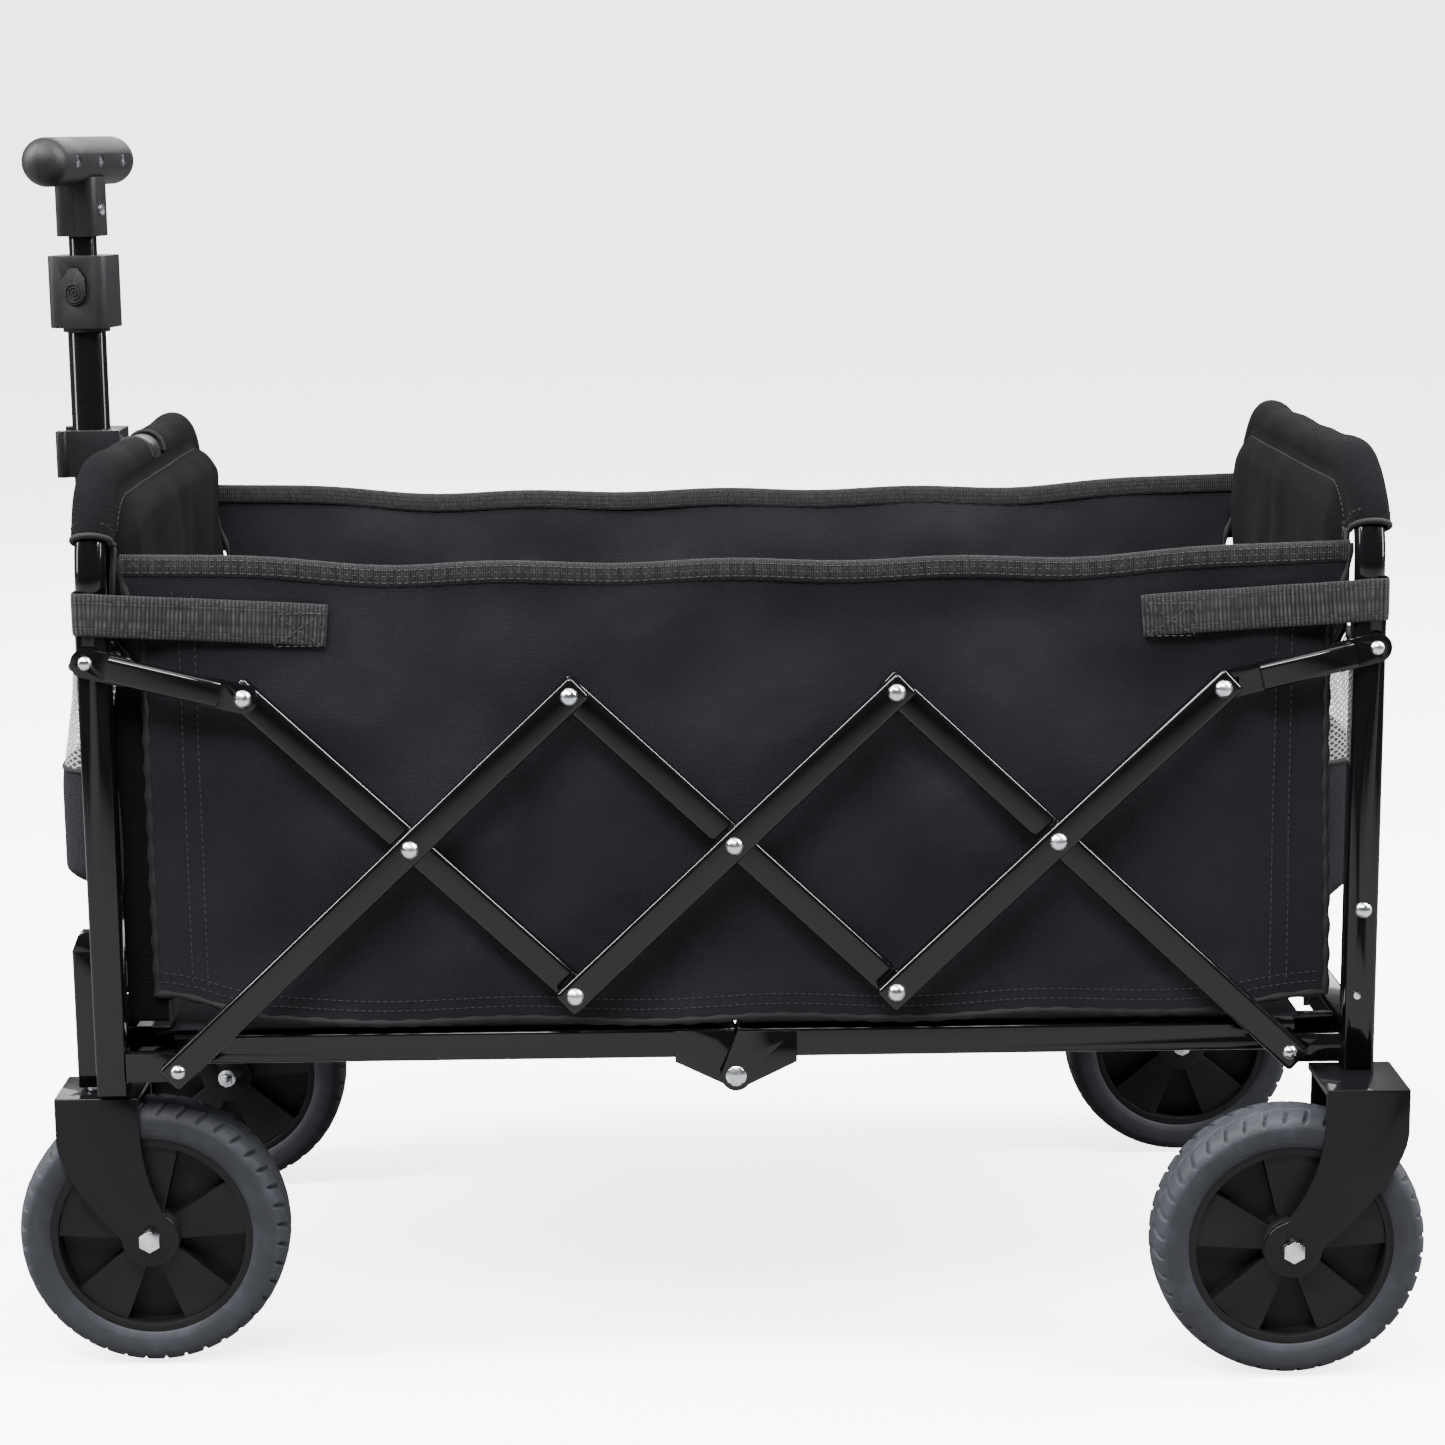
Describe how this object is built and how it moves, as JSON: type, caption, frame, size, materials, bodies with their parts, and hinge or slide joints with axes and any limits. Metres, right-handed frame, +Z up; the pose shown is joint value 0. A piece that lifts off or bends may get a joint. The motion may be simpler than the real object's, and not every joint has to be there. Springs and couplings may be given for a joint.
{
  "type": "folding wagon",
  "caption": "Folding utility wagon with a cloth bin on side scissors, hinged bottom rails, swivel front casters and a telescopic pull handle.",
  "frame": {"origin": "centre of the bounding box at floor level, under the bin, wheels standing on Z = 0", "axes": "X along the length with the pull handle at -X, Y across with the left side at -Y, Z up"},
  "size_m": [0.9244, 0.524, 0.8051],
  "materials": {
    "frame_steel": "gloss black powder coat",
    "fork_steel": "satin black powder coat",
    "zinc": "bright zinc plate",
    "black_plastic": "satin moulded",
    "hub_plastic": "satin moulded",
    "tyre_rubber": "matte rubber",
    "bin_cloth": "matte woven polyester",
    "webbing": "ribbed webbing"
  },
  "bodies": {
    "front_frame": {"front_hoop": "frame_steel", "front_leg_left": "frame_steel", "front_leg_right": "frame_steel", "front_crossbar": "frame_steel", "caster_housings": "frame_steel", "handle_bracket": "frame_steel", "handle_clip": "black_plastic", "front_fasteners": "zinc", "front_panel": "bin_cloth", "front_pocket": "bin_cloth", "side_panel_left": "bin_cloth", "side_panel_right": "bin_cloth", "front_straps": "webbing"},
    "pull_handle": {"handle_lug": "black_plastic", "handle_outer_tube": "frame_steel", "handle_collar": "black_plastic"},
    "handle_grip": {"handle_inner_tube": "frame_steel", "grip_shell_front": "black_plastic", "grip_shell_back": "black_plastic", "grip_screws": "zinc"},
    "button": {"release_button": "black_plastic"},
    "caster_left": {"caster_fork_left": "fork_steel", "front_axle_left": "zinc"},
    "caster_right": {"caster_fork_right": "fork_steel", "front_axle_right": "zinc"},
    "wheel_front_left": {"wheel_hub_front_left": "hub_plastic", "tyre_front_left": "tyre_rubber"},
    "wheel_front_right": {"wheel_hub_front_right": "hub_plastic", "tyre_front_right": "tyre_rubber"},
    "wheel_rear_left": {"wheel_hub_rear_left": "hub_plastic", "tyre_rear_left": "tyre_rubber"},
    "wheel_rear_right": {"wheel_hub_rear_right": "hub_plastic", "tyre_rear_right": "tyre_rubber"},
    "bottom_front": {"front_rails": "frame_steel", "rail_pins": "zinc", "floor_front": "bin_cloth"},
    "bottom_rear": {"rear_rails": "frame_steel", "floor_rear": "bin_cloth"},
    "rear_frame": {"rear_hoop": "frame_steel", "rear_leg_left": "frame_steel", "rear_leg_right": "frame_steel", "rear_crossbar": "frame_steel", "rear_forks": "fork_steel", "rear_axles": "zinc", "rear_rivets": "zinc", "rear_panel": "bin_cloth", "rear_pocket": "bin_cloth", "rear_straps": "webbing"},
    "scissor_a1": {"bars_a1": "frame_steel", "rivets_a1": "zinc"},
    "scissor_b1": {"bars_b1": "frame_steel"},
    "scissor_a2": {"bars_a2": "frame_steel", "rivets_a2": "zinc"},
    "scissor_b2": {"bars_b2": "frame_steel"},
    "scissor_a3": {"bars_a3": "frame_steel", "rivets_a3": "zinc"},
    "scissor_b3": {"bars_b3": "frame_steel"},
    "links_front": {"front_links": "frame_steel", "rivets_b1": "zinc"},
    "links_rear": {"rear_links": "frame_steel"}
  },
  "joints": [
    {"name": "fold", "type": "hinge", "parent": "front_frame", "child": "bottom_front", "pos_m": [-0.34335, 0, 0.2155], "axis": [0, -1, 0], "range_deg": [0, 80], "deforming": ["side_panel_left", "side_panel_right", "front_straps", "rear_straps"]},
    {"name": "bottom_centre", "type": "hinge", "parent": "bottom_front", "child": "bottom_rear", "pos_m": [0.01465, 0, 0.194], "axis": [0, -1, 0], "range_deg": [-160, 0]},
    {"name": "rear_frame_tilt", "type": "hinge", "parent": "bottom_rear", "child": "rear_frame", "pos_m": [0.37265, 0, 0.2155], "axis": [0, -1, 0], "range_deg": [0, 80]},
    {"name": "scissor_foot", "type": "hinge", "parent": "front_frame", "child": "scissor_a1", "pos_m": [-0.34727, 0, 0.2087], "axis": [0, -1, 0], "range_deg": [0, 36.51]},
    {"name": "scissor_cross_1", "type": "hinge", "parent": "scissor_a1", "child": "scissor_b1", "pos_m": [-0.19341, 0, 0.35425], "axis": [0, -1, 0], "range_deg": [-73.01, 0]},
    {"name": "scissor_low_1", "type": "hinge", "parent": "scissor_b1", "child": "scissor_a2", "pos_m": [-0.08938, 0, 0.25584], "axis": [0, -1, 0], "range_deg": [0, 73.01]},
    {"name": "scissor_cross_2", "type": "hinge", "parent": "scissor_a2", "child": "scissor_b2", "pos_m": [0.01465, 0, 0.35425], "axis": [0, -1, 0], "range_deg": [-73.01, 0]},
    {"name": "scissor_low_2", "type": "hinge", "parent": "scissor_b2", "child": "scissor_a3", "pos_m": [0.11868, 0, 0.25584], "axis": [0, -1, 0], "range_deg": [0, 73.01]},
    {"name": "scissor_cross_3", "type": "hinge", "parent": "scissor_a3", "child": "scissor_b3", "pos_m": [0.22271, 0, 0.35425], "axis": [0, -1, 0], "range_deg": [-73.01, 0]},
    {"name": "front_link_pivot", "type": "hinge", "parent": "front_frame", "child": "links_front", "pos_m": [-0.39627, 0, 0.4768], "axis": [0, -1, 0], "range_deg": [0, 66.88]},
    {"name": "rear_link_pivot", "type": "hinge", "parent": "rear_frame", "child": "links_rear", "pos_m": [0.42557, 0, 0.4768], "axis": [0, -1, 0], "range_deg": [-66.88, 0]},
    {"name": "handle_tilt", "type": "hinge", "parent": "front_frame", "child": "pull_handle", "pos_m": [-0.42535, 0, 0.217], "axis": [0, -1, 0], "range_deg": [0, 95]},
    {"name": "handle_extend", "type": "slide", "parent": "pull_handle", "child": "handle_grip", "axis": [0, 0, 1], "range_m": [0, 0.3]},
    {"name": "release_press", "type": "slide", "parent": "pull_handle", "child": "button", "axis": [0.2079, 0.9781, 0], "range_m": [0, 0.002], "stiffness_N_per_m": 800},
    {"name": "caster_swivel_left", "type": "hinge", "parent": "front_frame", "child": "caster_left", "pos_m": [-0.40485, -0.18, 0.19], "axis": [0, 0, 1], "continuous": true},
    {"name": "caster_swivel_right", "type": "hinge", "parent": "front_frame", "child": "caster_right", "pos_m": [-0.40485, 0.18, 0.19], "axis": [0, 0, 1], "continuous": true},
    {"name": "wheel_spin_front_left", "type": "hinge", "parent": "caster_left", "child": "wheel_front_left", "pos_m": [-0.37325, -0.18, 0.089], "axis": [0, 1, 0], "continuous": true},
    {"name": "wheel_spin_rear_left", "type": "hinge", "parent": "rear_frame", "child": "wheel_rear_left", "pos_m": [0.37325, -0.23, 0.089], "axis": [0, 1, 0], "continuous": true},
    {"name": "wheel_spin_front_right", "type": "hinge", "parent": "caster_right", "child": "wheel_front_right", "pos_m": [-0.37325, 0.18, 0.089], "axis": [0, 1, 0], "continuous": true},
    {"name": "wheel_spin_rear_right", "type": "hinge", "parent": "rear_frame", "child": "wheel_rear_right", "pos_m": [0.37325, 0.23, 0.089], "axis": [0, 1, 0], "continuous": true}
  ],
  "couplings": [
    {"joint": "bottom_centre", "follows": "fold", "ratio": -2},
    {"joint": "rear_frame_tilt", "follows": "fold", "ratio": 1},
    {"joint": "scissor_foot", "follows": "fold", "ratio": 0.45628},
    {"joint": "scissor_cross_1", "follows": "fold", "ratio": -0.91257},
    {"joint": "scissor_low_1", "follows": "fold", "ratio": 0.91257},
    {"joint": "scissor_cross_2", "follows": "fold", "ratio": -0.91257},
    {"joint": "scissor_low_2", "follows": "fold", "ratio": 0.91257},
    {"joint": "scissor_cross_3", "follows": "fold", "ratio": -0.91257},
    {"joint": "front_link_pivot", "follows": "fold", "ratio": 0.83594},
    {"joint": "rear_link_pivot", "follows": "fold", "ratio": -0.83594}
  ]
}
